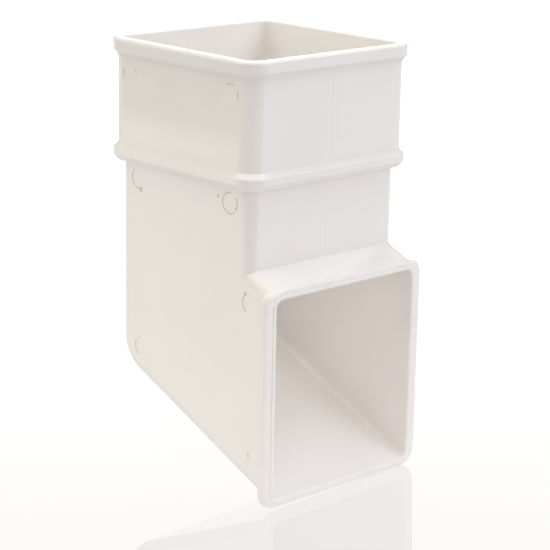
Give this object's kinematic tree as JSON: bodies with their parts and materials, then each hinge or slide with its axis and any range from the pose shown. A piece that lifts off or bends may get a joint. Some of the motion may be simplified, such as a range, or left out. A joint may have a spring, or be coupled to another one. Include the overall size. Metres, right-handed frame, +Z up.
{
  "type": "downpipe shoe",
  "caption": "One-piece moulded shoe for the foot of a square downpipe: a beaded socket above a short column that turns into a sloping spout with a collared outlet.",
  "frame": {"origin": "on the axis of the downpipe, in the plane of the ledge that the end of the pipe stands on", "axes": "+Z up along the pipe and out of the socket's mouth, -Y towards the outlet, X across the outlet"},
  "size_m": [0.073, 0.0804, 0.1444],
  "materials": {
    "white_pvc": "satin"
  },
  "bodies": {
    "root": {"downpipe_shoe": "white_pvc"}
  },
  "joints": []
}
